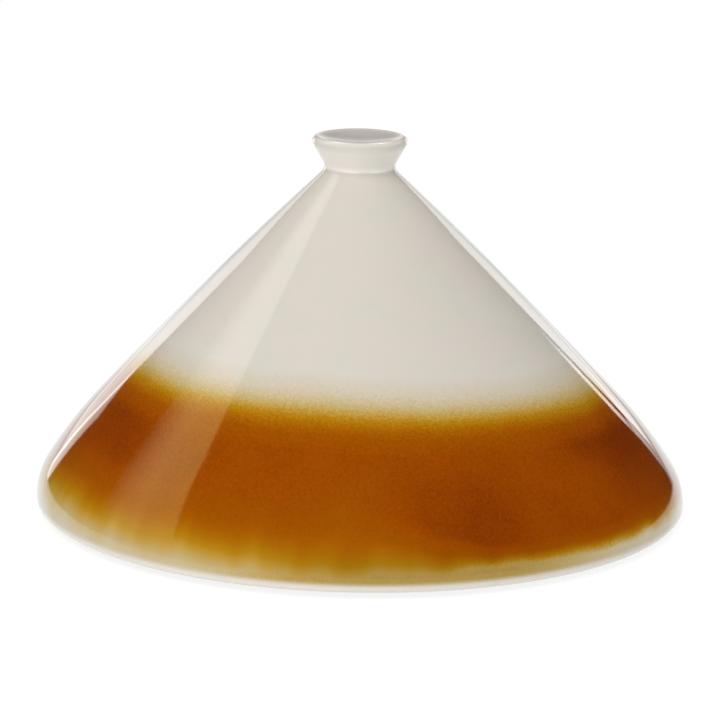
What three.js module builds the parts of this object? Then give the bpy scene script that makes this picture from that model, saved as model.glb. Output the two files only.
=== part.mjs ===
// Tagine: a shallow stoneware dish under a wide conical lid with a flared, dished knob.
// Millimetres, +Z up. The origin is the middle of the dish's foot ring, on the table.
// Both pieces are bodies of revolution, so each is one closed profile turned about +Z.
import * as THREE from "three";

// Lid
const LID_RADIUS = 140; // widest point, just above the rim
const LID_HEIGHT = 159.5; // underside of the rim to the top of the knob
const LID_WALL = 6;
const RIM_ROUND = 2.5; // outer under-edge of the rim
const RIM_INNER_ROUND = 1.5;
const SHOULDER_RADIUS = 25; // first turn in from the upright rim
const SHOULDER_LEAN = THREE.MathUtils.degToRad(33); // lean from upright where that turn ends
const HAUNCH_RADIUS = 215; // slower turn above the shoulder
const CROWN_RADIUS = 1900; // slight outward bow of the long sloping side
const APEX_RADIUS = 13; // rounded inside of the tip, below the knob
const WAIST_RADIUS = 15.3; // narrowest point, between the side and the knob
const WAIST_ROUND = 4.1;
const KNOB_HEIGHT = 12.9; // from the waist to the top
const KNOB_RADIUS = 20.25;
const KNOB_CHEEK = 5; // outward curve of the knob's flared side
const KNOB_EDGE = 2; // rounded rim of the knob
const KNOB_DISH_DEPTH = 4;

// Dish, standing under the lid
const DISH_WALL = 6;
const WALL_LEAN = THREE.MathUtils.degToRad(20); // lean of the dish's side from upright
const COVE_RADIUS = 22; // inside turn from floor to side
const DISH_EDGE = 1.2; // softened edges of the dish's rim
const FOOT_HEIGHT = 3;
const FOOT_WIDTH = 6;
const FOOT_EDGE = 1;

// Seat: the dish's mitred rim meets the lid's inside on the haunch
const SEAT_RISE = 18; // from the end of the shoulder, up the lid's inside
const SEAT_CLEARANCE = 0.3;
const RIM_OFF_TABLE = 2.5; // air under the closed lid's rim

// Fineness of the facets
const TURN_STEPS = 64;
const FACET_SAG = 0.08; // furthest that a facet may lie from the arc it stands for

const QUARTER = Math.PI / 2;

const point = (radius, height) => new THREE.Vector2(radius, height);
const toward = (angle) => point(Math.cos(angle), Math.sin(angle));
const from = (start, way, distance) => start.clone().addScaledVector(way, distance);
const bearing = (start, end) => Math.atan2(end.y - start.y, end.x - start.x);

// Points along an arc, both ends included.
function arc(centre, radius, start, end) {
  const step = 2 * Math.acos(1 - FACET_SAG / radius);
  const count = Math.max(2, Math.ceil(Math.abs(end - start) / step));
  const curve = new THREE.EllipseCurve(centre.x, centre.y, radius, radius, start, end, end < start);
  return curve.getPoints(count);
}

// A corner between two straight runs, replaced by an arc that touches both.
function softened(before, corner, after, radius) {
  const back = before.clone().sub(corner).normalize();
  const on = after.clone().sub(corner).normalize();
  const half = Math.acos(back.dot(on)) / 2;
  const reach = radius / Math.tan(half);
  const centre = from(corner, back.clone().add(on).normalize(), radius / Math.sin(half));
  const start = bearing(centre, from(corner, back, reach));
  const end = bearing(centre, from(corner, on, reach));
  const turn = THREE.MathUtils.euclideanModulo(end - start + Math.PI, 2 * Math.PI) - Math.PI;
  return arc(centre, radius, start, start + turn);
}

// The point at one distance from a and another from b, on the left of the way from a to b.
function meet(a, fromA, b, fromB) {
  const span = a.distanceTo(b);
  const along = (fromA * fromA - fromB * fromB + span * span) / (2 * span);
  const aside = Math.sqrt(fromA * fromA - along * along);
  const way = b.clone().sub(a).normalize();
  return from(from(a, way, along), point(-way.y, way.x), aside);
}

// A closed profile, listed from the top of the axis round to its lower end, turned about +Z.
function turned(name, profile, material) {
  const apart = profile.filter((p, i) => i === 0 || p.distanceTo(profile[i - 1]) > 1e-3);
  const geometry = new THREE.LatheGeometry(apart.reverse(), TURN_STEPS).rotateX(QUARTER);
  const mesh = new THREE.Mesh(geometry, material);
  mesh.name = name;
  return mesh;
}

// Centres of the lid's arcs
const rimCentre = point(LID_RADIUS - RIM_ROUND, RIM_ROUND);
const rimInnerCentre = point(LID_RADIUS - LID_WALL + RIM_INNER_ROUND, RIM_INNER_ROUND);
const shoulderCentre = point(LID_RADIUS - SHOULDER_RADIUS, RIM_ROUND);
const haunchCentre = from(shoulderCentre, toward(SHOULDER_LEAN), SHOULDER_RADIUS - HAUNCH_RADIUS);
const waistCentre = point(WAIST_RADIUS + WAIST_ROUND, LID_HEIGHT - KNOB_HEIGHT);
const edgeCentre = point(KNOB_RADIUS - KNOB_EDGE, LID_HEIGHT - KNOB_EDGE);
const cheekCentre = point(KNOB_RADIUS - KNOB_CHEEK, edgeCentre.y);
const crownCentre = meet(
  haunchCentre,
  CROWN_RADIUS - HAUNCH_RADIUS,
  waistCentre,
  CROWN_RADIUS + WAIST_ROUND,
);

// Bearings from the crown's centre to the ends of the long sloping side
const crownStart = bearing(crownCentre, haunchCentre);
const crownEnd = bearing(crownCentre, waistCentre);

function lidProfile() {
  // The flare is the straight run that touches the waist and the knob's cheek
  const gap = waistCentre.distanceTo(cheekCentre);
  const flare = bearing(waistCentre, cheekCentre) + Math.acos((WAIST_ROUND + KNOB_CHEEK) / gap);

  const hollow = (edgeCentre.x ** 2 / KNOB_DISH_DEPTH + KNOB_DISH_DEPTH) / 2;
  const hollowCentre = point(0, LID_HEIGHT - KNOB_DISH_DEPTH + hollow);
  const hollowEdge = bearing(hollowCentre, point(edgeCentre.x, LID_HEIGHT));

  const crownInside = CROWN_RADIUS - LID_WALL;
  const apexRise = Math.sqrt((crownInside - APEX_RADIUS) ** 2 - crownCentre.x ** 2);
  const apexCentre = point(0, crownCentre.y + apexRise);
  const apexStart = bearing(crownCentre, apexCentre);
  return [
    ...arc(hollowCentre, hollow, -QUARTER, hollowEdge),
    ...arc(edgeCentre, KNOB_EDGE, QUARTER, 0),
    ...arc(cheekCentre, KNOB_CHEEK, 0, flare - Math.PI),
    ...arc(waistCentre, WAIST_ROUND, flare, crownEnd + Math.PI),
    ...arc(crownCentre, CROWN_RADIUS, crownEnd, crownStart),
    ...arc(haunchCentre, HAUNCH_RADIUS, crownStart, SHOULDER_LEAN),
    ...arc(shoulderCentre, SHOULDER_RADIUS, SHOULDER_LEAN, 0),
    ...arc(rimCentre, RIM_ROUND, 0, -QUARTER),
    ...arc(rimInnerCentre, RIM_INNER_ROUND, -QUARTER, -Math.PI),
    ...arc(shoulderCentre, SHOULDER_RADIUS - LID_WALL, 0, SHOULDER_LEAN),
    ...arc(haunchCentre, HAUNCH_RADIUS - LID_WALL, SHOULDER_LEAN, crownStart),
    ...arc(crownCentre, crownInside, crownStart, apexStart),
    ...arc(apexCentre, APEX_RADIUS, apexStart, QUARTER),
  ];
}

function dishProfile() {
  // The rim is cut to the slope of the lid's inside, one clearance below it
  const seatRadius = HAUNCH_RADIUS - LID_WALL - SEAT_CLEARANCE;
  const seatStart = SHOULDER_LEAN + SEAT_RISE / seatRadius;
  const seatWidth = DISH_WALL / Math.sin(seatStart + WALL_LEAN);
  const seatBase = point(haunchCentre.x, haunchCentre.y + RIM_OFF_TABLE);
  const rimOuter = from(seatBase, toward(seatStart), seatRadius);
  const rimInner = from(rimOuter, toward(seatStart + QUARTER), seatWidth);

  // The side leans out from a cove that touches the floor
  const floor = FOOT_HEIGHT + DISH_WALL;
  const coveOuter = COVE_RADIUS + DISH_WALL;
  const coveHeight = floor + COVE_RADIUS;
  const sideHeight = rimOuter.y - coveHeight + coveOuter * Math.sin(WALL_LEAN);
  const sideFoot = point(rimOuter.x - sideHeight * Math.tan(WALL_LEAN), rimOuter.y - sideHeight);
  const coveCentre = from(sideFoot, toward(-WALL_LEAN), -coveOuter);
  const sideFootInner = from(coveCentre, toward(-WALL_LEAN), COVE_RADIUS);

  const footOuter = point(coveCentre.x, 0);
  const footInner = point(coveCentre.x - FOOT_WIDTH, 0);
  const underOuter = point(footOuter.x, FOOT_HEIGHT);
  const underInner = point(footInner.x, FOOT_HEIGHT);
  return [
    point(0, floor),
    ...arc(coveCentre, COVE_RADIUS, -QUARTER, -WALL_LEAN),
    ...softened(sideFootInner, rimInner, rimOuter, DISH_EDGE),
    ...softened(rimInner, rimOuter, sideFoot, DISH_EDGE),
    ...arc(coveCentre, coveOuter, -WALL_LEAN, -QUARTER),
    ...softened(underOuter, footOuter, footInner, FOOT_EDGE),
    ...softened(footOuter, footInner, underInner, FOOT_EDGE),
    underInner,
    point(0, FOOT_HEIGHT),
  ];
}

const creamGlaze = new THREE.MeshStandardMaterial({ color: "#d8d1c5", roughness: 0.12, metalness: 0 });
const amberGlaze = new THREE.MeshStandardMaterial({ color: "#9a4f0a", roughness: 0.15, metalness: 0 });

const dish = turned("base_dish", dishProfile(), amberGlaze);
const lid = turned("lid", lidProfile(), creamGlaze);
lid.position.z = RIM_OFF_TABLE;

const tagine = new THREE.Group();
tagine.add(dish, lid);

export default tagine;
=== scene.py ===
# Tagine: a wide conical stoneware lid in cream and amber glaze, closed over a shallow footed dish.
# Metres, +Z up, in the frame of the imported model.
import math

import bpy
from mathutils import Matrix, Vector


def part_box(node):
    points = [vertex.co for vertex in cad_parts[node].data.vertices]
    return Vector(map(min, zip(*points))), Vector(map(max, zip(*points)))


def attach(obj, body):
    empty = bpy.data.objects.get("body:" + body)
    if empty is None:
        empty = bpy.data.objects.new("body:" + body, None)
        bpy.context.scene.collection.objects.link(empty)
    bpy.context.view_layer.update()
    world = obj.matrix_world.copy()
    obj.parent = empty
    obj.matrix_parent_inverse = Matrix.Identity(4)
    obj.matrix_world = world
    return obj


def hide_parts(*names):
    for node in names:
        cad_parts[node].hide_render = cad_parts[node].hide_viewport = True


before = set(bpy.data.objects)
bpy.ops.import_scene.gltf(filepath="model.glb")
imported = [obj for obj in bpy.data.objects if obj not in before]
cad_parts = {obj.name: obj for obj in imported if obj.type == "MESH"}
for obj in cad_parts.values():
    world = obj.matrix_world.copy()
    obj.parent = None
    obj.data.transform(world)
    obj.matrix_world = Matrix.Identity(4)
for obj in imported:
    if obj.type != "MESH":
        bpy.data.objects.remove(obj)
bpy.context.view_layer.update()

QUARTER = math.pi / 2

# Lid sizes: the frame gives the overall ones
lid_low, lid_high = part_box("lid")
LID_RADIUS = lid_high.x
LID_HEIGHT = lid_high.z - lid_low.z
RIM_OFF_TABLE = lid_low.z
LID_WALL = 0.006
RIM_ROUND = 0.0025  # outer under-edge of the rim
RIM_INNER_ROUND = 0.0015
SHOULDER_RADIUS = 0.025  # first turn in from the upright rim
SHOULDER_LEAN = math.radians(33)  # lean from upright where that turn ends
HAUNCH_RADIUS = 0.215  # slower turn above the shoulder
CROWN_RADIUS = 1.9  # slight outward bow of the long sloping side
APEX_RADIUS = 0.013  # rounded inside of the tip, below the knob
WAIST_RADIUS = 0.0153  # narrowest point, between the side and the knob
WAIST_ROUND = 0.0041
KNOB_HEIGHT = 0.0129  # from the waist to the top
KNOB_RADIUS = 0.02025
KNOB_CHEEK = 0.005  # outward curve of the knob's flared side
KNOB_EDGE = 0.002  # rounded outer side of the knob's rim
KNOB_LIP = 0.006  # rounded inner side of the knob's rim
KNOB_DISH_DEPTH = 0.0026  # shallower than in the solid, as its photographed shading shows

# Dish sizes
DISH_WALL = 0.006
WALL_LEAN = math.radians(20)  # lean of the dish's side from upright
COVE_RADIUS = 0.022  # inside turn from floor to side
DISH_EDGE = 0.0012  # softened edges of the dish's rim
FOOT_HEIGHT = 0.003
FOOT_WIDTH = 0.006
FOOT_EDGE = 0.001
SEAT_RISE = 0.018  # from the end of the shoulder, up the lid's inside
SEAT_CLEARANCE = 0.0003

# Fineness of the turned meshes
TURN_STEPS = 256
PROFILE_SAG = 0.000006  # furthest that an edge may lie from the arc it stands for
PROFILE_STEP = 0.0025  # longest edge along an arc
SEAM_WELD = 0.0000015  # points nearer to each other than this become one

# Unevenness left by the hands on the wheel
LID_LEAN = -0.0163  # sideways per height: the tip stands a little to the left
RING_SPACING = 0.007
RING_DEPTH_OUTSIDE = 0.00003
RING_DEPTH_INSIDE = 0.00016
WARP_SIZE = 0.055
WARP_DEPTH = 0.00008
NOISE_MIDDLE = 0.5  # a noise swings about this


# Profiles

def point(radius, height):
    return Vector((radius, height))


def toward(angle):
    return point(math.cos(angle), math.sin(angle))


def bearing(start, end):
    return math.atan2(end.y - start.y, end.x - start.x)


def arc(centre, radius, start, end):
    """Points along an arc, both ends included."""
    step = min(2 * math.acos(1 - PROFILE_SAG / radius), PROFILE_STEP / radius)
    count = max(2, math.ceil(abs(end - start) / step))
    return [centre + toward(start + (end - start) * i / count) * radius for i in range(count + 1)]


def straight(start, end):
    """Points along a straight run, without its ends."""
    count = math.ceil((end - start).length / PROFILE_STEP)
    return [start.lerp(end, i / count) for i in range(1, count)]


def softened(before, corner, after, radius):
    """A corner between two straight runs, replaced by an arc that touches both."""
    back = (before - corner).normalized()
    on = (after - corner).normalized()
    half = back.angle(on) / 2
    centre = corner + (back + on).normalized() * (radius / math.sin(half))
    start = bearing(centre, corner + back * (radius / math.tan(half)))
    end = bearing(centre, corner + on * (radius / math.tan(half)))
    turn = (end - start + math.pi) % (2 * math.pi) - math.pi
    return arc(centre, radius, start, start + turn)


def meet(a, from_a, b, from_b):
    """The point at one distance from a and another from b, left of the way from a to b."""
    span = (b - a).length
    along = (from_a ** 2 - from_b ** 2 + span ** 2) / (2 * span)
    aside = math.sqrt(from_a ** 2 - along ** 2)
    way = (b - a).normalized()
    return a + way * along + point(-way.y, way.x) * aside


# Centres of the lid's arcs, heights from its rim
rim_centre = point(LID_RADIUS - RIM_ROUND, RIM_ROUND)
rim_inner_centre = point(LID_RADIUS - LID_WALL + RIM_INNER_ROUND, RIM_INNER_ROUND)
shoulder_centre = point(LID_RADIUS - SHOULDER_RADIUS, RIM_ROUND)
haunch_centre = shoulder_centre + toward(SHOULDER_LEAN) * (SHOULDER_RADIUS - HAUNCH_RADIUS)
waist_centre = point(WAIST_RADIUS + WAIST_ROUND, LID_HEIGHT - KNOB_HEIGHT)
edge_centre = point(KNOB_RADIUS - KNOB_EDGE, LID_HEIGHT - KNOB_EDGE)
cheek_centre = point(KNOB_RADIUS - KNOB_CHEEK, edge_centre.y)
crown_centre = meet(
    haunch_centre, CROWN_RADIUS - HAUNCH_RADIUS,
    waist_centre, CROWN_RADIUS + WAIST_ROUND,
)
crown_start = bearing(crown_centre, haunch_centre)
crown_end = bearing(crown_centre, waist_centre)


def knob_outside():
    """From the middle of the knob's dish, over its rim and down its flare to the waist."""
    lip_centre = point(edge_centre.x, LID_HEIGHT - KNOB_LIP)
    hollow = (edge_centre.x ** 2 / KNOB_DISH_DEPTH + KNOB_DISH_DEPTH) / 2 - KNOB_LIP
    hollow_centre = point(0, LID_HEIGHT - KNOB_DISH_DEPTH + hollow)
    gap = (cheek_centre - waist_centre).length
    flare = bearing(waist_centre, cheek_centre) + math.acos((WAIST_ROUND + KNOB_CHEEK) / gap)
    cheek = arc(cheek_centre, KNOB_CHEEK, 0, flare - math.pi)
    waist = arc(waist_centre, WAIST_ROUND, flare, crown_end + math.pi)
    return (
        arc(hollow_centre, hollow, -QUARTER, bearing(hollow_centre, lip_centre))
        + arc(lip_centre, KNOB_LIP, bearing(lip_centre, hollow_centre), QUARTER)
        + arc(edge_centre, KNOB_EDGE, QUARTER, 0)
        + cheek
        + straight(cheek[-1], waist[0])
        + waist
    )


def lid_outside():
    """From the middle of the knob's dish, down over the cone, to the under-edge of the rim."""
    return (
        knob_outside()
        + arc(crown_centre, CROWN_RADIUS, crown_end, crown_start)
        + arc(haunch_centre, HAUNCH_RADIUS, crown_start, SHOULDER_LEAN)
        + arc(shoulder_centre, SHOULDER_RADIUS, SHOULDER_LEAN, 0)
        + arc(rim_centre, RIM_ROUND, 0, -QUARTER)
    )


def lid_inside():
    """From the under-edge of the rim up to the rounded tip under the knob."""
    crown_inside = CROWN_RADIUS - LID_WALL
    apex_rise = math.sqrt((crown_inside - APEX_RADIUS) ** 2 - crown_centre.x ** 2)
    apex_centre = point(0, crown_centre.y + apex_rise)
    apex_start = bearing(crown_centre, apex_centre)
    return (
        arc(rim_inner_centre, RIM_INNER_ROUND, -QUARTER, -math.pi)
        + arc(shoulder_centre, SHOULDER_RADIUS - LID_WALL, 0, SHOULDER_LEAN)
        + arc(haunch_centre, HAUNCH_RADIUS - LID_WALL, SHOULDER_LEAN, crown_start)
        + arc(crown_centre, crown_inside, crown_start, apex_start)
        + arc(apex_centre, APEX_RADIUS, apex_start, QUARTER)
    )


# Corners of the dish, heights from the table; its rim is cut to the slope of the lid's inside
seat_radius = HAUNCH_RADIUS - LID_WALL - SEAT_CLEARANCE
seat_start = SHOULDER_LEAN + SEAT_RISE / seat_radius
seat_width = DISH_WALL / math.sin(seat_start + WALL_LEAN)
rim_outer = haunch_centre + point(0, RIM_OFF_TABLE) + toward(seat_start) * seat_radius
rim_inner = rim_outer + toward(seat_start + QUARTER) * seat_width
floor_height = FOOT_HEIGHT + DISH_WALL
cove_outer = COVE_RADIUS + DISH_WALL
side_height = rim_outer.y - floor_height - COVE_RADIUS + cove_outer * math.sin(WALL_LEAN)
side_foot = rim_outer - point(math.tan(WALL_LEAN), 1) * side_height
cove_centre = side_foot - toward(-WALL_LEAN) * cove_outer
side_foot_inner = cove_centre + toward(-WALL_LEAN) * COVE_RADIUS


def dish_inside():
    """From the middle of the floor to the mitred rim."""
    middle = point(0, floor_height)
    cove = arc(cove_centre, COVE_RADIUS, -QUARTER, -WALL_LEAN)
    rim = softened(side_foot_inner, rim_inner, rim_outer, DISH_EDGE)
    return [middle] + straight(middle, cove[0]) + cove + straight(cove[-1], rim[0]) + rim


def dish_outside():
    """From the rim down to the foot ring and across the underside."""
    foot_outer = point(cove_centre.x, 0)
    foot_inner = point(cove_centre.x - FOOT_WIDTH, 0)
    under_outer = point(foot_outer.x, FOOT_HEIGHT)
    under_inner = point(foot_inner.x, FOOT_HEIGHT)
    under_middle = point(0, FOOT_HEIGHT)
    rim = softened(rim_inner, rim_outer, side_foot, DISH_EDGE)
    cove = arc(cove_centre, cove_outer, -WALL_LEAN, -QUARTER)
    foot = softened(under_outer, foot_outer, foot_inner, FOOT_EDGE)
    foot += softened(foot_outer, foot_inner, under_inner, FOOT_EDGE)
    return (
        rim
        + straight(rim[-1], cove[0])
        + cove
        + foot
        + [under_inner]
        + straight(under_inner, under_middle)
        + [under_middle]
    )


def length(points):
    return sum((b - a).length for a, b in zip(points, points[1:]))


# Nodes and colours

# Sockets of a Mix node, which has a pair of inputs for each kind of value
MIX_FACTOR = 0
NUMBER_A = 2
NUMBER_B = 3
COLOUR_A = 6
COLOUR_B = 7
MIXED_NUMBER = 0
MIXED_COLOUR = 2


def add(tree, kind, inputs=(), **settings):
    """Adds a node, sets its properties, and links or fills its inputs."""
    node = tree.nodes.new(kind)
    for name, value in settings.items():
        setattr(node, name, value)
    for key, value in dict(inputs).items():
        if isinstance(value, bpy.types.NodeSocket):
            tree.links.new(value, node.inputs[key])
        else:
            node.inputs[key].default_value = value
    return node


def linear(code):
    """An sRGB hex colour as the linear RGBA that sockets take."""
    channels = [int(code[i:i + 2], 16) / 255 for i in (1, 3, 5)]
    curved = [c / 12.92 if c <= 0.04045 else ((c + 0.055) / 1.055) ** 2.4 for c in channels]
    return (*curved, 1.0)


def set_stops(ramp, stops):
    """Puts colours on a colour ramp, from (position, hex colour) pairs."""
    while len(ramp.elements) < len(stops):
        ramp.elements.new(1.0)
    for element, (position, code) in zip(ramp.elements, stops):
        element.position = position
        element.color = linear(code)


# Turning a profile on the wheel

def wheel_sockets(tree):
    kinds = {
        "Profile": "NodeSocketGeometry",
        "Turn Steps": "NodeSocketInt",
        "Wheel Radius": "NodeSocketFloat",
        "Fold": "NodeSocketFloat",
        "Lean": "NodeSocketFloat",
        "Lean From": "NodeSocketFloat",
        "Ring Spacing": "NodeSocketFloat",
        "Ring Depth Before Fold": "NodeSocketFloat",
        "Ring Depth After Fold": "NodeSocketFloat",
        "Warp Size": "NodeSocketFloat",
        "Warp Depth": "NodeSocketFloat",
        "Seed": "NodeSocketFloat",
        "Glaze": "NodeSocketMaterial",
    }
    for name, kind in kinds.items():
        tree.interface.new_socket(name, in_out="INPUT", socket_type=kind)
    tree.interface.new_socket("Pot", in_out="OUTPUT", socket_type="NodeSocketGeometry")
    return add(tree, "NodeGroupInput").outputs


def swept_profile(tree, given):
    """The profile carried round +Z, with its seam and poles closed. An attribute keeps how far along
    the profile each point lies, which tells the inside from the outside."""
    along = add(tree, "GeometryNodeSplineParameter")
    marked = add(
        tree, "GeometryNodeStoreNamedAttribute",
        {"Geometry": given["Profile"], "Name": "along", "Value": along.outputs["Factor"]},
        data_type="FLOAT", domain="POINT",
    )
    circle = add(
        tree, "GeometryNodeCurvePrimitiveCircle",
        {"Resolution": given["Turn Steps"], "Radius": given["Wheel Radius"]},
    )
    swept = add(
        tree, "GeometryNodeCurveToMesh",
        {"Curve": circle.outputs["Curve"], "Profile Curve": marked.outputs["Geometry"]},
    )
    closed = add(
        tree, "GeometryNodeMergeByDistance",
        {"Geometry": swept.outputs["Mesh"], "Distance": SEAM_WELD},
    )
    return closed.outputs["Geometry"]


def finger_rings(tree, given, height):
    """Rings left by the fingers: how far they move each height outwards, with one depth before the
    profile's fold and another after it."""
    mark = add(tree, "GeometryNodeInputNamedAttribute", {"Name": "along"}, data_type="FLOAT")
    after = add(
        tree, "ShaderNodeMath",
        {0: mark.outputs["Attribute"], 1: given["Fold"]}, operation="GREATER_THAN",
    )
    depth = add(
        tree, "ShaderNodeMapRange",
        {
            "Value": after.outputs[0],
            "To Min": given["Ring Depth Before Fold"], "To Max": given["Ring Depth After Fold"],
        },
    )
    step = add(tree, "ShaderNodeMath", {0: height, 1: given["Ring Spacing"]}, operation="DIVIDE")
    seeded = add(tree, "ShaderNodeMath", {0: step.outputs[0], 1: given["Seed"]}, operation="ADD")
    rings = add(
        tree, "ShaderNodeTexNoise",
        {"W": seeded.outputs[0], "Scale": 1.0, "Detail": 1.0}, noise_dimensions="1D",
    )
    swing = add(tree, "ShaderNodeMath", {0: rings.outputs[0], 1: NOISE_MIDDLE}, operation="SUBTRACT")
    return add(
        tree, "ShaderNodeMath",
        {0: swing.outputs[0], 1: depth.outputs[0]}, operation="MULTIPLY",
    ).outputs[0]


def hand_marks(tree, given, place, axes):
    """The rings and a slow warp from drying, as a move outwards from the axis."""
    scale = add(tree, "ShaderNodeMath", {0: 1.0, 1: given["Warp Size"]}, operation="DIVIDE")
    warp = add(
        tree, "ShaderNodeTexNoise",
        {"Vector": place, "W": given["Seed"], "Scale": scale.outputs[0], "Detail": 0.0},
        noise_dimensions="4D",
    )
    swing = add(tree, "ShaderNodeMath", {0: warp.outputs[0], 1: NOISE_MIDDLE}, operation="SUBTRACT")
    distance = add(
        tree, "ShaderNodeMath",
        {0: swing.outputs[0], 1: given["Warp Depth"], 2: finger_rings(tree, given, axes["Z"])},
        operation="MULTIPLY_ADD",
    )
    flat = add(tree, "ShaderNodeCombineXYZ", {"X": axes["X"], "Y": axes["Y"]})
    outward = add(tree, "ShaderNodeVectorMath", {0: flat.outputs[0]}, operation="NORMALIZE")
    return add(
        tree, "ShaderNodeVectorMath",
        {0: outward.outputs[0], "Scale": distance.outputs[0]}, operation="SCALE",
    ).outputs[0]


def sideways_lean(tree, given, height):
    """A move along X that grows with height, because the whole piece leans a little to one side."""
    rise = add(tree, "ShaderNodeMath", {0: height, 1: given["Lean From"]}, operation="SUBTRACT")
    shift = add(tree, "ShaderNodeMath", {0: rise.outputs[0], 1: given["Lean"]}, operation="MULTIPLY")
    return add(tree, "ShaderNodeCombineXYZ", {"X": shift.outputs[0]}).outputs[0]


def wheel_tree():
    """Sweeps a profile round +Z and leaves the slight unevenness of a thrown pot."""
    tree = bpy.data.node_groups.new("thrown_on_the_wheel", "GeometryNodeTree")
    given = wheel_sockets(tree)
    place = add(tree, "GeometryNodeInputPosition").outputs[0]
    axes = add(tree, "ShaderNodeSeparateXYZ", {0: place}).outputs
    offset = add(
        tree, "ShaderNodeVectorMath",
        {0: hand_marks(tree, given, place, axes), 1: sideways_lean(tree, given, axes["Z"])},
        operation="ADD",
    )
    moved = add(
        tree, "GeometryNodeSetPosition",
        {"Geometry": swept_profile(tree, given), "Offset": offset.outputs[0]},
    )
    smooth = add(tree, "GeometryNodeSetShadeSmooth", {"Geometry": moved.outputs["Geometry"]})
    real = add(tree, "GeometryNodeRealizeInstances", {"Geometry": smooth.outputs["Geometry"]})
    glazed = add(
        tree, "GeometryNodeSetMaterial",
        {"Geometry": real.outputs["Geometry"], "Material": given["Glaze"]},
    )
    add(tree, "NodeGroupOutput", {"Pot": glazed.outputs["Geometry"]})
    return tree


def profile_curve(name, profile, wheel_radius, base):
    """A profile as a curve object, drawn the way the wheel sweeps it."""
    apart = [profile[0]]
    for p in profile[1:]:
        if (p - apart[-1]).length > PROFILE_SAG:
            apart.append(p)
    curve = bpy.data.curves.new(name, "CURVE")
    curve.dimensions = "3D"
    spline = curve.splines.new("POLY")
    spline.points.add(len(apart) - 1)
    for place, p in zip(spline.points, apart):
        place.co = (p.x - wheel_radius, -(p.y + base), 0, 1)
    turning = bpy.data.objects.new(name, curve)
    bpy.context.scene.collection.objects.link(turning)
    return turning


def thrown(name, tree, profile, glaze, base=0.0, **sizes):
    """Turns a profile into a finished mesh object; base is the height of the profile's zero."""
    wheel_radius = max(p.x for p in profile)
    turning = profile_curve(name + "_profile", profile, wheel_radius, base)
    modifier = turning.modifiers.new("wheel", "NODES")
    modifier.node_group = tree
    settings = {
        "Turn Steps": TURN_STEPS,
        "Wheel Radius": wheel_radius,
        "Ring Spacing": RING_SPACING,
        "Warp Size": WARP_SIZE,
        "Warp Depth": WARP_DEPTH,
        "Glaze": glaze,
    }
    settings.update({key.replace("_", " ").title(): value for key, value in sizes.items()})
    for socket in tree.interface.items_tree:
        if socket.name in settings:
            modifier[socket.identifier] = settings[socket.name]

    graph = bpy.context.evaluated_depsgraph_get()
    mesh = bpy.data.meshes.new_from_object(turning.evaluated_get(graph), depsgraph=graph)
    mesh.name = name
    turning.modifiers.remove(modifier)
    bpy.data.objects.remove(turning)
    piece = bpy.data.objects.new(name, mesh)
    bpy.context.scene.collection.objects.link(piece)
    return piece


# Materials

def new_material(name):
    """An empty material, with its node tree and Object coordinates."""
    material = bpy.data.materials.new(name)
    material.use_nodes = True
    tree = material.node_tree
    tree.nodes.clear()
    place = add(tree, "ShaderNodeTexCoord").outputs["Object"]
    return material, tree, place


def off_axis(tree, place):
    """A place without its height: the way out to it from the axis."""
    return add(
        tree, "ShaderNodeVectorMath",
        {0: place, 1: (1.0, 1.0, 0.0)}, operation="MULTIPLY",
    ).outputs[0]


# Fired surface of both pieces: glaze, and clay where it is bare
GROG_SIZE = 0.0009
MELT_SIZE = 0.02  # patches of sharper and duller shine
MELT_SPREAD = (0.3, 0.7)  # most of their noise lies between these
GLAZE_ROUGHNESS = (0.05, 0.08)
CLAY_ROUGHNESS = 0.8
PEEL_SIZE = 0.003
PEEL_DEPTH = 0.000006
GRIT_SIZE = 0.0008
GRIT_OVER_PEEL = 12.0  # the bare clay's grit is this much deeper than the glaze's orange peel
GLAZE_IOR = 1.52
FILM_SLANT = (0.68, 0.8)  # the clear film comes in between these, where 0 is square on and 1 edge on
FILM_ROUGHNESS = 0.05


def amber_over_cream(tree, thickness):
    """The tints of an iron amber glaze as it thickens over cream: straw, gold, amber, mahogany."""
    tints = add(tree, "ShaderNodeValToRGB", {"Fac": thickness})
    set_stops(tints.color_ramp, [
        (0.0, "#dad4ca"),
        (0.14, "#d4c9b2"),
        (0.2, "#cfbd95"),
        (0.245, "#c8b075"),
        (0.29, "#c39b42"),
        (0.33, "#b78414"),
        (0.375, "#af6e07"),
        (0.42, "#a85c04"),
        (0.46, "#a15302"),
        (0.6, "#9c4802"),
        (0.75, "#853603"),
        (0.88, "#732b03"),
        (1.0, "#5c2203"),
    ])
    return tints.outputs["Color"]


def warm_mirror(tree, thickness):
    """Iron in the amber warms what it mirrors."""
    mirror = add(tree, "ShaderNodeValToRGB", {"Fac": thickness})
    set_stops(mirror.color_ramp, [(0.2, "#ccc8c2"), (0.45, "#ffef68")])
    return mirror.outputs["Color"]


def buff_clay(tree, place):
    """Bare stoneware: dry buff with fine darker grog."""
    grog = add(tree, "ShaderNodeTexNoise", {"Vector": place, "Scale": 1 / GROG_SIZE, "Detail": 2.0})
    tints = add(tree, "ShaderNodeValToRGB", {"Fac": grog.outputs[0]})
    set_stops(tints.color_ramp, [
        (0.3, "#9a7b58"),
        (0.45, "#c2a27a"),
        (0.7, "#d0b48e"),
    ])
    return tints.outputs["Color"]


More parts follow.
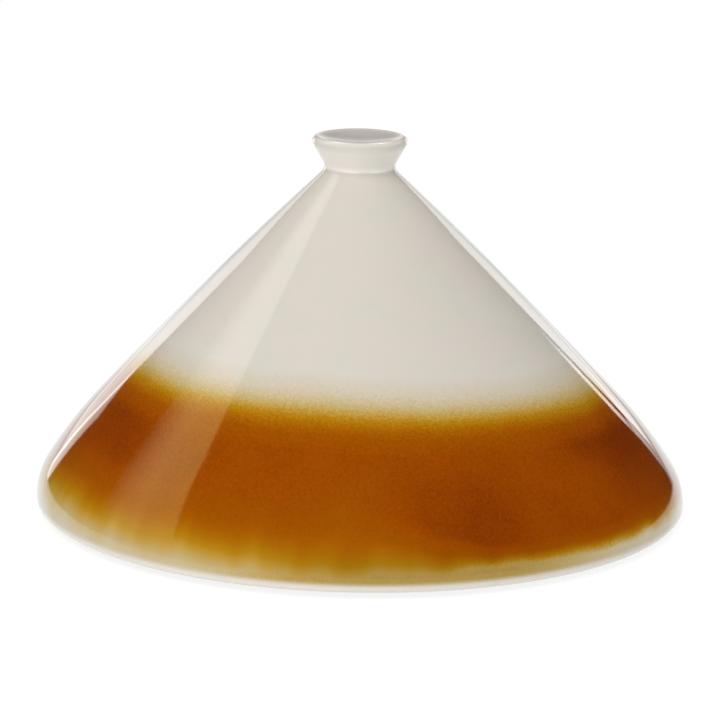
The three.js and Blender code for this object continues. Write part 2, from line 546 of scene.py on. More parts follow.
def shine(tree, place, bare):
    """Roughness: a wet gloss, a little sharper or duller in patches, and dry where bare is 1."""
    melt = add(tree, "ShaderNodeTexNoise", {"Vector": place, "Scale": 1 / MELT_SIZE, "Detail": 2.0})
    gloss = add(
        tree, "ShaderNodeMapRange",
        {
            "Value": melt.outputs[0],
            "From Min": MELT_SPREAD[0], "From Max": MELT_SPREAD[1],
            "To Min": GLAZE_ROUGHNESS[0], "To Max": GLAZE_ROUGHNESS[1],
        },
    )
    return add(
        tree, "ShaderNodeMix",
        {MIX_FACTOR: bare, NUMBER_A: gloss.outputs[0], NUMBER_B: CLAY_ROUGHNESS},
    ).outputs[MIXED_NUMBER]


def relief(tree, place, bare):
    """A faint orange peel on the glaze, and grit where bare is 1."""
    peel = add(tree, "ShaderNodeTexNoise", {"Vector": place, "Scale": 1 / PEEL_SIZE, "Detail": 1.0})
    grit = add(tree, "ShaderNodeTexNoise", {"Vector": place, "Scale": 1 / GRIT_SIZE, "Detail": 2.0})
    bare_grit = add(tree, "ShaderNodeMath", {0: grit.outputs[0], 1: bare}, operation="MULTIPLY")
    height = add(
        tree, "ShaderNodeMath",
        {0: bare_grit.outputs[0], 1: GRIT_OVER_PEEL, 2: peel.outputs[0]}, operation="MULTIPLY_ADD",
    )
    bump = add(tree, "ShaderNodeBump", {"Height": height.outputs[0], "Distance": PEEL_DEPTH})
    return bump.outputs[0]


def clear_film(tree, bare):
    """The clear top of the glaze, which mirrors without a tint where it is seen at a slant. There is
    none where bare is 1."""
    slant = add(tree, "ShaderNodeLayerWeight", {"Blend": 0.5})
    covered = add(tree, "ShaderNodeMath", {0: 1.0, 1: bare}, operation="SUBTRACT")
    return add(
        tree, "ShaderNodeMapRange",
        {
            "Value": slant.outputs["Facing"],
            "From Min": FILM_SLANT[0], "From Max": FILM_SLANT[1],
            "To Max": covered.outputs[0],
        },
    ).outputs[0]


def fired_surface(tree, place, colour, mirror, bare):
    """Glaze over clay: a wet shine with a faint orange peel, dry and gritty where bare is 1."""
    shown = add(
        tree, "ShaderNodeMix",
        {MIX_FACTOR: bare, COLOUR_A: colour, COLOUR_B: buff_clay(tree, place)}, data_type="RGBA",
    )
    surface = add(
        tree, "ShaderNodeBsdfPrincipled",
        {
            "Base Color": shown.outputs[MIXED_COLOUR],
            "Roughness": shine(tree, place, bare),
            "IOR": GLAZE_IOR,
            "Specular Tint": mirror,
            "Coat Weight": clear_film(tree, bare),
            "Coat Roughness": FILM_ROUGHNESS,
            "Normal": relief(tree, place, bare),
        },
    )
    add(tree, "ShaderNodeOutputMaterial", {"Surface": surface.outputs[0]})


# The lid's amber band. Its upper dip line is a plane: height over the rim, and tilt along X and Y
UPPER_DIP = 0.0555
UPPER_TILT = (0.0318, 0.045)
UPPER_ABOVE = 0.016  # the amber fades out this far above its dip line
UPPER_BELOW = 0.012  # and is full this far below it
UPPER_WOBBLE_SIZE = 0.035
UPPER_WOBBLE = 0.0035  # how far the line wanders up and down, from end to end

# Its lower dip line, which climbs to the left
LOWER_DIP = 0.0093
LOWER_LEFT_RISE = 0.0046
LOWER_RISE_X = (-0.12, 0.0)  # the line climbs from the second X to the first
LOWER_SLOW = 0.045  # length of the lower fade on the left
LOWER_QUICK = 0.0145  # and on the right, where the amber ran on
LOWER_FADE_X = (0.0, 0.06)  # the fade changes from slow to quick between these X
LOWER_START = 0.415  # share of the amber on the line itself, between the runs
RUN_WIDTH = 0.013
RUN_STRETCH = 0.25  # heights count this much in the runs' pattern, which makes them hang down
RUN_SHARE = 0.17  # share of the amber that a run adds

# The thin wash of amber below the lower line, down to the lip
WASH_MIDDLE = 0.02  # X where the wash is thickest
WASH_ASIDE = (0.04, 0.125)  # it thins between these distances along X from there
WASH_SHARES = (0.46, 0.22)
LIP_BARE = (0.001, 0.005)  # wiped off the lip, the amber comes back between these heights

# Places where the amber lies thicker or thinner: angle from the front, height over the rim,
# reach, and depth
POOLS = [
    (66, 0.049, 0.059, 0.2),
    (21, 0.015, 0.058, 0.12),
    (-66, 0.048, 0.050, 0.13),
    (-4, 0.026, 0.040, -0.05),
    (110, 0.030, 0.060, -0.06),
    (150, 0.034, 0.075, 0.18),
    (-150, 0.028, 0.065, 0.15),
    (-115, 0.030, 0.050, -0.06),
]
POOLS_FROM = 0.6  # pools show where the band has more than this share of its amber
PATCH_SIZE = 0.03  # smaller, fainter unevenness between the pools
PATCH_SPREAD = (0.25, 0.75)  # most of its noise lies between these
PATCH_DEPTH = 0.05
BAND_THICKNESS = 0.6  # of the amber where the band is full, without the pools

# Grain of the melted glaze, drawn twice as coarse as it is so that it shows
GRAIN_SIZE = 0.0011
GRAIN_SPREAD = 0.0028  # how far it moves the band's edges up and down, from end to end
GRAIN_SHADE = 350.0  # how much it lightens and darkens the amber, per metre of that move


def on_lid(angle, height):
    """A place on the outside of the lid, from its angle round from the front and height over the rim."""
    turn = math.radians(angle)
    outline = lid_outside()
    radius = min(outline, key=lambda p: abs(p.y - height)).x
    return Vector((radius * math.sin(turn), -radius * math.cos(turn), RIM_OFF_TABLE + height))


def glaze_grain(tree, place):
    """Grain of the melted glaze, about 0."""
    speckle = add(
        tree, "ShaderNodeTexNoise",
        {"Vector": place, "Scale": 1 / GRAIN_SIZE, "Detail": 1.0, "Roughness": 0.6},
    )
    return add(
        tree, "ShaderNodeMath",
        {0: speckle.outputs[0], 1: GRAIN_SPREAD, 2: -GRAIN_SPREAD / 2}, operation="MULTIPLY_ADD",
    ).outputs[0]


def upper_edge(tree, place, grain):
    """How much of the amber is there below its upper dip line: 0 above it, 1 below."""
    wobble = add(
        tree, "ShaderNodeTexNoise",
        {"Vector": place, "Scale": 1 / UPPER_WOBBLE_SIZE, "Detail": 2.0, "Roughness": 0.45},
    )
    ragged = add(
        tree, "ShaderNodeMath",
        {0: wobble.outputs[0], 1: UPPER_WOBBLE, 2: grain}, operation="MULTIPLY_ADD",
    )
    above = add(
        tree, "ShaderNodeVectorMath",
        {0: place, 1: (*UPPER_TILT, 1.0)}, operation="DOT_PRODUCT",
    )
    height = add(
        tree, "ShaderNodeMath",
        {0: above.outputs["Value"], 1: ragged.outputs[0]}, operation="ADD",
    )
    dip = RIM_OFF_TABLE + UPPER_DIP + UPPER_WOBBLE / 2
    return add(
        tree, "ShaderNodeMapRange",
        {
            "Value": height.outputs[0],
            "From Min": dip - UPPER_BELOW, "From Max": dip + UPPER_ABOVE,
            "To Min": 1.0, "To Max": 0.0,
        },
    ).outputs[0]


def hanging_runs(tree, place):
    """Runs of glaze that hang down, as a noise round the lid."""
    way = add(tree, "ShaderNodeVectorMath", {0: off_axis(tree, place)}, operation="NORMALIZE")
    on_rim = add(
        tree, "ShaderNodeVectorMath",
        {0: way.outputs[0], "Scale": LID_RADIUS}, operation="SCALE",
    )
    hanging = add(
        tree, "ShaderNodeVectorMath",
        {0: place, 1: (0.0, 0.0, RUN_STRETCH), 2: on_rim.outputs[0]}, operation="MULTIPLY_ADD",
    )
    return add(
        tree, "ShaderNodeTexNoise",
        {"Vector": hanging.outputs[0], "Scale": 1 / RUN_WIDTH, "Detail": 1.0, "Roughness": 0.4},
    ).outputs[0]


def thin_wash(tree, x):
    """The least share of amber below the lower line: most near the front, less to both sides."""
    from_middle = add(tree, "ShaderNodeMath", {0: x, 1: -WASH_MIDDLE}, operation="ADD")
    aside = add(tree, "ShaderNodeMath", {0: from_middle.outputs[0]}, operation="ABSOLUTE")
    return add(
        tree, "ShaderNodeMapRange",
        {
            "Value": aside.outputs[0],
            "From Min": WASH_ASIDE[0], "From Max": WASH_ASIDE[1],
            "To Min": WASH_SHARES[0], "To Max": WASH_SHARES[1],
        },
        interpolation_type="SMOOTHSTEP",
    ).outputs[0]


def fade_over_lower_line(tree, axes, grain):
    """Height over the lower dip line, as a share of the fade's length there."""
    dip = RIM_OFF_TABLE + LOWER_DIP
    line = add(
        tree, "ShaderNodeMapRange",
        {
            "Value": axes["X"],
            "From Min": LOWER_RISE_X[0], "From Max": LOWER_RISE_X[1],
            "To Min": dip + LOWER_LEFT_RISE, "To Max": dip,
        },
        interpolation_type="SMOOTHSTEP",
    )
    fade = add(
        tree, "ShaderNodeMapRange",
        {
            "Value": axes["X"],
            "From Min": LOWER_FADE_X[0], "From Max": LOWER_FADE_X[1],
            "To Min": LOWER_SLOW, "To Max": LOWER_QUICK,
        },
        interpolation_type="SMOOTHSTEP",
    )
    height = add(tree, "ShaderNodeMath", {0: axes["Z"], 1: grain}, operation="ADD")
    over_line = add(
        tree, "ShaderNodeMath",
        {0: height.outputs[0], 1: line.outputs[0]}, operation="SUBTRACT",
    )
    return add(
        tree, "ShaderNodeMath",
        {0: over_line.outputs[0], 1: fade.outputs[0]}, operation="DIVIDE",
    ).outputs[0]


def lower_edge(tree, place, grain):
    """How much of the amber is there above its lower dip line: a slow fade with long runs on the left,
    a quick one with short runs on the right, and a thin wash down to the lip, where it was wiped off."""
    axes = add(tree, "ShaderNodeSeparateXYZ", {0: place}).outputs
    ragged = add(
        tree, "ShaderNodeMath",
        {0: hanging_runs(tree, place), 1: RUN_SHARE, 2: fade_over_lower_line(tree, axes, grain)},
        operation="MULTIPLY_ADD",
    )
    lower = add(tree, "ShaderNodeMath", {0: ragged.outputs[0], 1: LOWER_START}, operation="ADD")
    washed = add(
        tree, "ShaderNodeMath",
        {0: lower.outputs[0], 1: thin_wash(tree, axes["X"])}, operation="MAXIMUM",
    )
    lip = add(
        tree, "ShaderNodeMapRange",
        {
            "Value": axes["Z"],
            "From Min": RIM_OFF_TABLE + LIP_BARE[0], "From Max": RIM_OFF_TABLE + LIP_BARE[1],
        },
        interpolation_type="SMOOTHSTEP",
    )
    return add(
        tree, "ShaderNodeMath",
        {0: washed.outputs[0], 1: lip.outputs[0]}, operation="MULTIPLY",
    ).outputs[0]


def pooling(tree, place):
    """Thicker and thinner pools within the amber band, about 0."""
    patches = add(tree, "ShaderNodeTexNoise", {"Vector": place, "Scale": 1 / PATCH_SIZE, "Detail": 3.0})
    depth = add(
        tree, "ShaderNodeMapRange",
        {
            "Value": patches.outputs[0],
            "From Min": PATCH_SPREAD[0], "From Max": PATCH_SPREAD[1],
            "To Min": -PATCH_DEPTH, "To Max": PATCH_DEPTH,
        },
    ).outputs[0]
    for angle, height, reach, amount in POOLS:
        away = add(
            tree, "ShaderNodeVectorMath",
            {0: place, 1: on_lid(angle, height)}, operation="DISTANCE",
        )
        share = add(
            tree, "ShaderNodeMapRange",
            {"Value": away.outputs["Value"], "From Max": reach, "To Min": amount, "To Max": 0.0},
            interpolation_type="SMOOTHSTEP",
        )
        depth = add(tree, "ShaderNodeMath", {0: depth, 1: share.outputs[0]}, operation="ADD").outputs[0]
    return depth


def amber_thickness(tree, place, grain):
    """Thickness of the amber: a band between its two edges, with pools where it is nearly full."""
    band = add(
        tree, "ShaderNodeMath",
        {0: upper_edge(tree, place, grain), 1: lower_edge(tree, place, grain)}, operation="MINIMUM",
    )
    full = add(
        tree, "ShaderNodeMapRange",
        {"Value": band.outputs[0], "From Min": POOLS_FROM, "From Max": 1.0},
        interpolation_type="SMOOTHSTEP",
    )
    base = add(
        tree, "ShaderNodeMath",
        {0: band.outputs[0], 1: BAND_THICKNESS}, operation="MULTIPLY", use_clamp=True,
    )
    return add(
        tree, "ShaderNodeMath",
        {0: pooling(tree, place), 1: full.outputs[0], 2: base.outputs[0]}, operation="MULTIPLY_ADD",
    ).outputs[0]


# The lid's cream. Heights in its colour stops are shares of the lid's height over its rim
CREASE = 1 - KNOB_HEIGHT / LID_HEIGHT  # where the side meets the knob
KNOB_SHADE_BACK = 0.0015  # the painted shade in the knob's dish is centred this far behind the middle
KNOB_SHADE_EDGE = (0.005, 0.001)  # it ends between these distances inside the rim's crest
SHOULDER_SHADE_MIDDLE = (12, 0.008)  # middle of the painted shade on the shoulder: angle from the front, height over the rim
SHOULDER_SHADE_REACH = (0.02, 0.09)
CLOUD_SIZE = 0.012


def painted_light_places(tree, share):
    """How much painted light pales the cream: on the lip, in the crease and over the knob's down-facing
    flare, and as a painted highlight on its rim.
    """
    paler = add(tree, "ShaderNodeValToRGB", {"Fac": share})
    set_stops(paler.color_ramp, [
        (0.008, "#f8f8f8"),
        (0.024, "#000000"),
        (CREASE - 0.006, "#000000"),
        (CREASE, "#f4f4f4"),
        (CREASE + 0.05, "#f4f4f4"),
        (CREASE + 0.066, "#606060"),
        (0.996, "#888888"),
    ])
    return paler.outputs["Color"]


def painted_crease_highlights(tree, share, x):
    """Where highlights are painted white in the crease under the knob, one on each side of the middle.
    """
    near_crease = add(tree, "ShaderNodeValToRGB", {"Fac": share})
    set_stops(near_crease.color_ramp, [
        (CREASE - 0.005, "#000000"),
        (CREASE - 0.002, "#ffffff"),
        (CREASE + 0.001, "#ffffff"),
        (CREASE + 0.004, "#000000"),
    ])
    aside = add(tree, "ShaderNodeMath", {0: x}, operation="ABSOLUTE")
    across = add(
        tree, "ShaderNodeMapRange",
        {"Value": aside.outputs[0], "From Min": 0.0, "From Max": WAIST_RADIUS},
    )
    beside = add(tree, "ShaderNodeValToRGB", {"Fac": across.outputs[0]})
    set_stops(beside.color_ramp, [
        (0.1, "#000000"),
        (0.25, "#ffffff"),
        (0.5, "#ffffff"),
        (0.7, "#000000"),
    ])
    return add(
        tree, "ShaderNodeMath",
        {0: near_crease.outputs["Color"], 1: beside.outputs["Color"]}, operation="MULTIPLY",
    ).outputs[0]


def knob_dish_painted_shade(tree, place):
    """Where shade is painted grey in the knob's dish."""
    top = RIM_OFF_TABLE + LID_HEIGHT
    middle = Vector((LID_LEAN * (top - rim_outer.y), KNOB_SHADE_BACK, top))
    away = add(tree, "ShaderNodeVectorMath", {0: place, 1: middle}, operation="DISTANCE")
    return add(
        tree, "ShaderNodeMapRange",
        {
            "Value": away.outputs["Value"],
            "From Min": edge_centre.x - KNOB_SHADE_EDGE[0],
            "From Max": edge_centre.x - KNOB_SHADE_EDGE[1],
            "To Min": 1.0, "To Max": 0.0,
        },
        interpolation_type="SMOOTHSTEP",
    ).outputs[0]


def shoulder_painted_shade(tree, place, share):
    """Where shade is painted on the front of the shoulder, below the amber, as a slight darkening."""
    on_shoulder = add(tree, "ShaderNodeValToRGB", {"Fac": share})
    set_stops(on_shoulder.color_ramp, [
        (0.016, "#000000"),
        (0.03, "#ffffff"),
        (0.07, "#ffffff"),
        (0.11, "#000000"),
    ])
    away = add(tree, "ShaderNodeVectorMath", {0: place, 1: on_lid(*SHOULDER_SHADE_MIDDLE)}, operation="DISTANCE")
    near = add(
        tree, "ShaderNodeMapRange",
        {
            "Value": away.outputs["Value"],
            "From Min": SHOULDER_SHADE_REACH[0], "From Max": SHOULDER_SHADE_REACH[1],
            "To Min": 1.0, "To Max": 0.0,
        },
        interpolation_type="SMOOTHSTEP",
    )
    return add(
        tree, "ShaderNodeMath",
        {0: on_shoulder.outputs["Color"], 1: near.outputs[0]}, operation="MULTIPLY",
    ).outputs[0]


def faint_clouds(tree, place):
    """Tints of faint clouds, a little pinker or greener."""
    clouds = add(tree, "ShaderNodeTexNoise", {"Vector": place, "Scale": 1 / CLOUD_SIZE, "Detail": 3.0})
    tints = add(tree, "ShaderNodeValToRGB", {"Fac": clouds.outputs[0]})
    set_stops(tints.color_ramp, [(0.35, "#fffcfc"), (0.65, "#fbfcfa")])
    return tints.outputs["Color"]


def cream_accents(tree, place, colour):
    """Cream under faint clouds, with painted light on the lip, the crease and the knob's flare, painted
    highlights on the knob's rim and in the crease, and painted shade in the knob's dish and on the front
    of the shoulder.
    """
    axes = add(tree, "ShaderNodeSeparateXYZ", {0: place}).outputs
    share = add(
        tree, "ShaderNodeMapRange",
        {"Value": axes["Z"], "From Min": RIM_OFF_TABLE, "From Max": RIM_OFF_TABLE + LID_HEIGHT},
    ).outputs[0]
    # Painted light, painted highlights and painted shade, each with its tint, then the clouds
    accents = [
        (painted_light_places(tree, share), linear("#fdf9f1"), "MIX"),
        (painted_crease_highlights(tree, share, axes["X"]), linear("#ffffff"), "MIX"),
        (knob_dish_painted_shade(tree, place), linear("#ccc4be"), "MIX"),
        (shoulder_painted_shade(tree, place, share), linear("#e9e9e6"), "MULTIPLY"),
        (1.0, faint_clouds(tree, place), "MULTIPLY"),
    ]
    for amount, tint, blend in accents:
        colour = add(
            tree, "ShaderNodeMix",
            {MIX_FACTOR: amount, COLOUR_A: colour, COLOUR_B: tint}, data_type="RGBA", blend_type=blend,
        ).outputs[MIXED_COLOUR]
    return colour


RIM_BARE = 0.0004  # the underside of the rim is bare up to this height over it


def bare_rim(tree, place):
    """1 on the underside of the rim, left bare so that the lid does not stick to the kiln shelf."""
    radius = add(tree, "ShaderNodeVectorMath", {0: off_axis(tree, place)}, operation="LENGTH")
    height = add(tree, "ShaderNodeSeparateXYZ", {0: place}).outputs["Z"]
    under = add(tree, "ShaderNodeMath", {0: height, 1: RIM_OFF_TABLE + RIM_BARE}, operation="LESS_THAN")
    inward = add(
        tree, "ShaderNodeMath",
        {0: radius.outputs["Value"], 1: rim_centre.x}, operation="LESS_THAN",
    )
    return add(
        tree, "ShaderNodeMath",
        {0: under.outputs[0], 1: inward.outputs[0]}, operation="MULTIPLY",
    ).outputs[0]


def lid_glaze(fold):
    """Gloss stoneware glaze: cream all over, dipped to a band of amber with soft, speckled edges.
    The eye gets a wet shine, sharp reflections, and colour that deepens where the glaze ran thick.
    fold is how far along the profile the outside turns into the inside."""
    material, tree, place = new_material("gloss_cream_and_amber_stoneware_glaze")
    grain = glaze_grain(tree, place)
    along = add(tree, "ShaderNodeAttribute", attribute_name="along").outputs["Fac"]
    outer = add(tree, "ShaderNodeMath", {0: along, 1: fold}, operation="LESS_THAN")
    coated = add(
        tree, "ShaderNodeMath",
        {0: amber_thickness(tree, place, grain), 1: outer.outputs[0]}, operation="MULTIPLY",
    ).outputs[0]

    # The grain shows as lighter and darker specks, as strong as the amber is thick
    grainy = add(tree, "ShaderNodeMath", {0: grain, 1: coated}, operation="MULTIPLY")
    shade = add(
        tree, "ShaderNodeMath",
        {0: grainy.outputs[0], 1: GRAIN_SHADE, 2: 1.0}, operation="MULTIPLY_ADD",
    )
    speckled = add(
        tree, "ShaderNodeVectorMath",
        {0: amber_over_cream(tree, coated), "Scale": shade.outputs[0]}, operation="SCALE",
    )
    colour = cream_accents(tree, place, speckled.outputs[0])
    fired_surface(tree, place, colour, warm_mirror(tree, coated), bare_rim(tree, place))
    return material


# The dish's amber
POUR_SIZE = 0.04  # of the pools in the poured glaze
POUR_UNEVEN = 0.3
POUR_MIDDLE = 0.02  # the floor's amber thins from this radius out to the cove
POUR_THICKNESS = (0.7, 0.5)
RIM_BREAK = 0.004  # the amber starts to thin this far below the rim's outer edge
RIM_SHARE = 0.35  # and this much of it is left on the rim's inner edge
FOOT_WAVE = 0.008  # how far the line where the glaze ends wanders up and down
FOOT_BARE = (0.0108, 0.0112)  # the glaze ends between these heights over the underside, less the wave


def poured_amber(tree, place, pools):
    """Thickness of the amber in the dish: thick in the middle of the floor, thin on the rim."""
    radius = add(tree, "ShaderNodeVectorMath", {0: off_axis(tree, place)}, operation="LENGTH")
    height = add(tree, "ShaderNodeSeparateXYZ", {0: place}).outputs["Z"]
    depth = add(
        tree, "ShaderNodeMapRange",
        {
            "Value": radius.outputs["Value"],
            "From Min": POUR_MIDDLE, "From Max": cove_centre.x,
            "To Min": POUR_THICKNESS[0], "To Max": POUR_THICKNESS[1],
        },
        interpolation_type="SMOOTHSTEP",
    )
    uneven = add(
        tree, "ShaderNodeMath",
        {0: pools, 1: POUR_UNEVEN, 2: depth.outputs[0]}, operation="MULTIPLY_ADD",
    )
    breaking = add(
        tree, "ShaderNodeMapRange",
        {
            "Value": height,
            "From Min": rim_outer.y - RIM_BREAK, "From Max": rim_inner.y,
            "To Min": 1.0, "To Max": RIM_SHARE,
        },
        interpolation_type="SMOOTHSTEP",
    )
    return add(
        tree, "ShaderNodeMath",
        {0: uneven.outputs[0], 1: breaking.outputs[0]}, operation="MULTIPLY",
    ).outputs[0]


def bare_foot(tree, place, pools, fold):
    """1 on the outside of the dish below the wavy line, above the foot, where the glaze ends."""
    height = add(tree, "ShaderNodeSeparateXYZ", {0: place}).outputs["Z"]
    wave = add(tree, "ShaderNodeMath", {0: pools, 1: FOOT_WAVE, 2: height}, operation="MULTIPLY_ADD")
    low = add(
        tree, "ShaderNodeMapRange",
        {
            "Value": wave.outputs[0],
            "From Min": FOOT_HEIGHT + FOOT_BARE[0], "From Max": FOOT_HEIGHT + FOOT_BARE[1],
            "To Min": 1.0, "To Max": 0.0,
        },
    )
    along = add(tree, "ShaderNodeAttribute", attribute_name="along").outputs["Fac"]
    outer = add(tree, "ShaderNodeMath", {0: along, 1: fold}, operation="GREATER_THAN")
    return add(
        tree, "ShaderNodeMath",
        {0: low.outputs[0], 1: outer.outputs[0]}, operation="MULTIPLY",
    ).outputs[0]


def dish_glaze(fold):
    """Gloss amber glaze poured inside the dish, thinning to gold on the rim, over buff stoneware that
    stays dry and bare at the foot. The eye gets a deep wet amber inside and matt clay below.
    fold is how far along the profile the inside turns into the outside."""
    material, tree, place = new_material("gloss_amber_glaze_on_buff_stoneware")
    noise = add(tree, "ShaderNodeTexNoise", {"Vector": place, "Scale": 1 / POUR_SIZE, "Detail": 3.0})
    pools = noise.outputs[0]
    thickness = poured_amber(tree, place, pools)
    colour = amber_over_cream(tree, thickness)
    bare = bare_foot(tree, place, pools, fold)
    fired_surface(tree, place, colour, warm_mirror(tree, thickness), bare)
    return material


# The two pieces
wheel = wheel_tree()

outside = lid_outside()
inside = lid_inside()
lid_fold = length(outside) / length(outside + inside)
lid = thrown(
    "lid_shell", wheel, outside + inside, lid_glaze(lid_fold), base=RIM_OFF_TABLE,
    fold=lid_fold, ring_depth_before_fold=RING_DEPTH_OUTSIDE, ring_depth_after_fold=RING_DEPTH_INSIDE,
    lean=LID_LEAN, lean_from=rim_outer.y, seed=3.0,
)
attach(lid, "lid")
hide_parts("lid")

inside = dish_inside()
outside = dish_outside()
dish_fold = length(inside) / length(inside + outside)
dish = thrown(
    "dish_shell", wheel, inside + outside, dish_glaze(dish_fold),
    fold=dish_fold, ring_depth_before_fold=RING_DEPTH_INSIDE, ring_depth_after_fold=RING_DEPTH_OUTSIDE,
    seed=8.0,
)
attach(dish, "base")
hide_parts("base_dish")


# Floor, light and camera

FLOOR_SIZE = 8.0
FLOOR_HEIGHT = -0.0002  # just under the foot ring
FLOOR_LIFT = 0.8  # share of plain white in the floor, as seen by the camera and in the glaze
FLOOR_SEEN = 1.1  # level of that white for the camera
FLOOR_MIRRORED = (0.92, 0.3)  # and in the glaze, near the tagine and further off
FLOOR_DIMS = (0.45, 1.0)  # it dims between these distances

WORLD_SEEN = 1.0  # level of the world's white for the camera
WORLD_FILL = 0.57  # on the surfaces
WORLD_MIRRORED = 0.012  # and in the glaze

LIGHT_TARGET = (0, 0, 0.07)
UPRIGHT = (0, 0, 1)  # ways that a lamp's length may lie
LEVEL = (0, 1, 0)

# The camera of the photograph
CAMERA_DISTANCE = 1.43761
CAMERA_HEIGHT = 0.40895 + RIM_OFF_TABLE
CAMERA_PITCH = math.radians(13.5855)
CAMERA_YAW = math.radians(0.0395)
CAMERA_ROLL = math.radians(0.9343)
CAMERA_LENS = 171.55
CAMERA_SENSOR = 36


def white_paper():
    """Matt white paper, lifted to plain white for the camera; in the glaze it is white near the
    tagine and dims further off."""
    material, tree, place = new_material("matt_white_paper")
    paper = add(tree, "ShaderNodeBsdfDiffuse", {"Color": linear("#f4f4f4")})
    ray = add(tree, "ShaderNodeLightPath").outputs
    away = add(tree, "ShaderNodeVectorMath", {0: place}, operation="LENGTH")
    mirrored = add(
        tree, "ShaderNodeMapRange",
        {
            "Value": away.outputs["Value"],
            "From Min": FLOOR_DIMS[0], "From Max": FLOOR_DIMS[1],
            "To Min": FLOOR_MIRRORED[0], "To Max": FLOOR_MIRRORED[1],
        },
        interpolation_type="SMOOTHSTEP",
    )
    strength = add(
        tree, "ShaderNodeMapRange",
        {"Value": ray["Is Camera Ray"], "To Min": mirrored.outputs[0], "To Max": FLOOR_SEEN},
    )
    glow = add(tree, "ShaderNodeEmission", {"Strength": strength.outputs[0]})
    seen = add(
        tree, "ShaderNodeMath",
        {0: ray["Is Camera Ray"], 1: ray["Is Glossy Ray"]}, operation="MAXIMUM",
    )
    lift = add(tree, "ShaderNodeMath", {0: seen.outputs[0], 1: FLOOR_LIFT}, operation="MULTIPLY")
    both = add(
        tree, "ShaderNodeMixShader",
        {0: lift.outputs[0], 1: paper.outputs[0], 2: glow.outputs[0]},
    )
    add(tree, "ShaderNodeOutputMaterial", {"Surface": both.outputs[0]})
    return material


def studio_floor():
    """A wide sheet of paper under the tagine."""
    half = FLOOR_SIZE / 2
    corners = [(x * half, y * half, FLOOR_HEIGHT) for x, y in ((-1, -1), (1, -1), (1, 1), (-1, 1))]
    mesh = bpy.data.meshes.new("studio_floor")
    mesh.from_pydata(corners, [], [(0, 1, 2, 3)])
    sheet = bpy.data.objects.new("studio_floor", mesh)
    bpy.context.scene.collection.objects.link(sheet)
    mesh.materials.append(white_paper())


def studio_world():
    """White to the camera, soft grey to the surfaces, and dark in the glaze."""
    world = bpy.data.worlds.new("studio")
    world.use_nodes = True
    tree = world.node_tree
    tree.nodes.clear()
    ray = add(tree, "ShaderNodeLightPath").outputs
    fill = add(
        tree, "ShaderNodeMapRange",
        {"Value": ray["Is Glossy Ray"], "To Min": WORLD_FILL, "To Max": WORLD_MIRRORED},
    )
    strength = add(
        tree, "ShaderNodeMapRange",
        {"Value": ray["Is Camera Ray"], "To Min": fill.outputs[0], "To Max": WORLD_SEEN},
    )
    sky = add(
        tree, "ShaderNodeBackground",
        {"Color": linear("#ffffff"), "Strength": strength.outputs[0]},
    )
    add(tree, "ShaderNodeOutputWorld", {"Surface": sky.outputs[0]})
    bpy.context.scene.world = world


def lamp_levels(tree, across, upward, soft):
    """Level of a lamp from place to place on it. across and upward are its levels at the ends of its
    width and of its length; soft says how much of the width fades in from each end, and then how much
    of the length."""
    spot = add(tree, "ShaderNodeNewGeometry").outputs["Parametric"]
    ends = add(tree, "ShaderNodeSeparateXYZ", {0: spot}).outputs
    slopes = [("X", 0.0, 1.0, *across), ("Y", 0.0, 1.0, *upward)]
    fades = [
        ("X", 0.0, soft[0]),
        ("X", 1.0, 1.0 - soft[1]),
        ("Y", 0.0, soft[2]),
        ("Y", 1.0, 1.0 - soft[3]),
    ]
    slopes += [(axis, end, inward, 0.0, 1.0) for axis, end, inward in fades if end != inward]
    level = 1.0
    for axis, start, end, first, last in slopes:
        slope = add(
            tree, "ShaderNodeMapRange",
            {"Value": ends[axis], "From Min": start, "From Max": end, "To Min": first, "To Max": last},
        )
        level = add(
            tree, "ShaderNodeMath",
            {0: slope.outputs[0], 1: level}, operation="MULTIPLY",
        ).outputs[0]
    return level


def softbox(
    name, centre, along, wide, long, radiance,
    across=(1, 1), upward=(1, 1), soft=(0, 0, 0, 0), target=LIGHT_TARGET,
):
    """A lamp facing the target, with its length along the given direction. lamp_levels says what
    across, upward and soft are."""
    lamp = bpy.data.lights.new(name, "AREA")
    lamp.shape = "RECTANGLE"
    lamp.size = wide
    lamp.size_y = long
    lamp.energy = radiance * math.pi * wide * long
    lamp.use_nodes = True
    tree = lamp.node_tree
    tree.nodes.clear()
    glow = add(tree, "ShaderNodeEmission", {"Strength": lamp_levels(tree, across, upward, soft)})
    add(tree, "ShaderNodeOutputLight", {"Surface": glow.outputs[0]})

    box = bpy.data.objects.new(name, lamp)
    upright = Vector(along).normalized()
    away = Vector(centre) - Vector(target)
    away = (away - upright * away.dot(upright)).normalized()
    turn = Matrix((upright.cross(away), upright, away)).transposed()
    box.location = centre
    box.rotation_euler = turn.to_euler()
    box.visible_camera = False
    bpy.context.scene.collection.objects.link(box)
    return box


def colour_lights():
    """A big front light and a weak one from the left, which light the colours."""
    return [
        softbox("front_light", (-0.37, -1.3, 1.8), (0, 0.8, 0.6), 1.6, 1.6, 2.86),
        softbox("left_fill", (-1.5, -0.6, 0.2), UPRIGHT, 0.8, 0.4, 1.4),
    ]


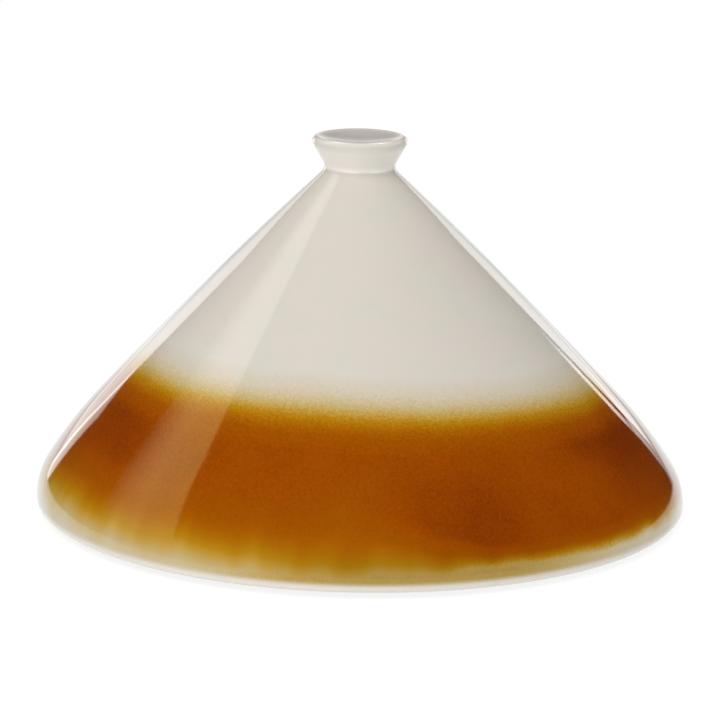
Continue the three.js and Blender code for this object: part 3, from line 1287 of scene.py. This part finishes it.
def mirrored_lights():
    """Softboxes and strips that the glaze mirrors."""
    # The broad streak down the left of the cone
    streak = softbox(
        "left_softbox", (-1.16, 0.22, 1.0), (0.077, 0.529, 0.845), 0.74, 1.9, 2.0,
        soft=(0.5, 0, 0.38, 0),
    )

    # The two glints on the knob's rim
    glints = [
        softbox(
            name, (x, 0.75, 1.2), LEVEL, 0.4, 1.22, 7.0,
            soft=(0.35, 0.35, 0.3, 0.5),
        )
        for name, x in (("overhead_left", -0.3), ("overhead_right", 0.3))
    ]

    # The pale bands along both edges of the cone, and their lower ends
    bands = [
        softbox(
            "left_edge_light", (-0.30, 0.63, 0.17), UPRIGHT, 0.3, 0.34, 0.93,
            across=(0.3, 1.65), upward=(0.9, 1.1), soft=(0, 0, 0.1, 0),
        ),
        softbox(
            "left_low_light", (-0.4925, 0.63, 0.09), UPRIGHT, 0.085, 0.18, 1.35,
            upward=(1, 0.8),
        ),
        softbox(
            "right_edge_light", (0.27, 0.63, 0.17), UPRIGHT, 0.25, 0.32, 1.22,
            across=(1.3, 0.3), upward=(0.72, 1.15), soft=(0, 0, 0.1, 0),
        ),
        softbox(
            "right_low_light", (0.393, 0.63, 0.06), UPRIGHT, 0.125, 0.08, 0.75,
            across=(1.3, 0.2), upward=(0.4, 1.2),
        ),
        softbox(
            "right_thin_strip", (0.43, 0.58, 0.17), UPRIGHT, 0.03, 0.16, 2.2,
            soft=(0, 0, 0.35, 0.35),
        ),
    ]

    # Behind the tagine, for the knob's dish and the outlines
    behind = [
        softbox("back_strip", (0, 2.5, 0.24), UPRIGHT, 1.2, 0.44, 0.8),
        softbox("back_panel", (0, 2.4, 0.9), UPRIGHT, 1.0, 0.9, 0.7, soft=(0.4, 0.4, 0, 0.8)),
        softbox(
            "back_table", (0, 1.4, -0.0001), LEVEL, 0.7, 1.8, 0.42,
            soft=(0.3, 0.3, 0, 0), target=(0, 1.4, 1),
        ),
    ]
    return [streak] + glints + bands + behind


def studio_lights():
    """The first lamps light the colours and are not mirrored; the others are only mirrored."""
    for box in colour_lights():
        box.visible_glossy = False
    for box in mirrored_lights():
        box.visible_diffuse = False


def studio_camera():
    """The photograph's viewpoint, in front of the middle of the leaning lid's rim."""
    camera = bpy.data.objects.new("camera", bpy.data.cameras.new("camera"))
    camera.data.sensor_width = CAMERA_SENSOR
    camera.data.lens = CAMERA_LENS
    turn = Matrix.Rotation(CAMERA_YAW, 3, "Z")
    tip = Matrix.Rotation(QUARTER - CAMERA_PITCH, 3, "X")
    roll = Matrix.Rotation(CAMERA_ROLL, 3, "Z")
    camera.rotation_euler = (turn @ tip @ roll).to_euler()
    camera.location = (LID_LEAN * (RIM_OFF_TABLE - rim_outer.y), -CAMERA_DISTANCE, CAMERA_HEIGHT)
    bpy.context.scene.collection.objects.link(camera)
    bpy.context.scene.camera = camera


studio_floor()
studio_world()
studio_lights()
studio_camera()
bpy.context.scene.view_settings.view_transform = "Standard"
